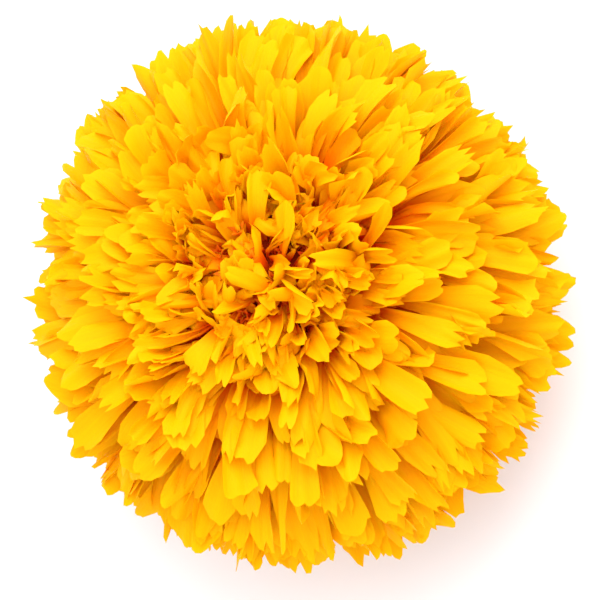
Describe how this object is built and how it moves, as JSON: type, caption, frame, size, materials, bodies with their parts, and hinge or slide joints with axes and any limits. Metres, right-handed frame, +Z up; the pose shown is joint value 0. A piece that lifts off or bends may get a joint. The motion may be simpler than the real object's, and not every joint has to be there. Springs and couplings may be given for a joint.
{
  "type": "marigold flower head",
  "caption": "Picked double marigold flower head: a dense ball of toothed yellow petals round small orange disc florets, over a ribbed green cup and a short cut stalk.",
  "frame": {"origin": "centre of the stalk's cut end, on the surface that the head rests on", "axes": "+Z straight up through the middle of the flower, from the cut stalk to the disc florets; the head is much the same all round, so +X and +Y are any two level directions"},
  "size_m": [0.0734, 0.0754, 0.0449],
  "materials": {
    "stalk_green": "fresh green stalk, matt",
    "bract_green": "fresh green bracts, matt",
    "petal_yellow": "fresh petals, soft satin",
    "disc_orange": "fresh petals, soft satin"
  },
  "bodies": {
    "root": {"stalk": "stalk_green", "bract_cup": "bract_green", "ray_florets": "petal_yellow", "disc_florets": "disc_orange"}
  },
  "joints": []
}
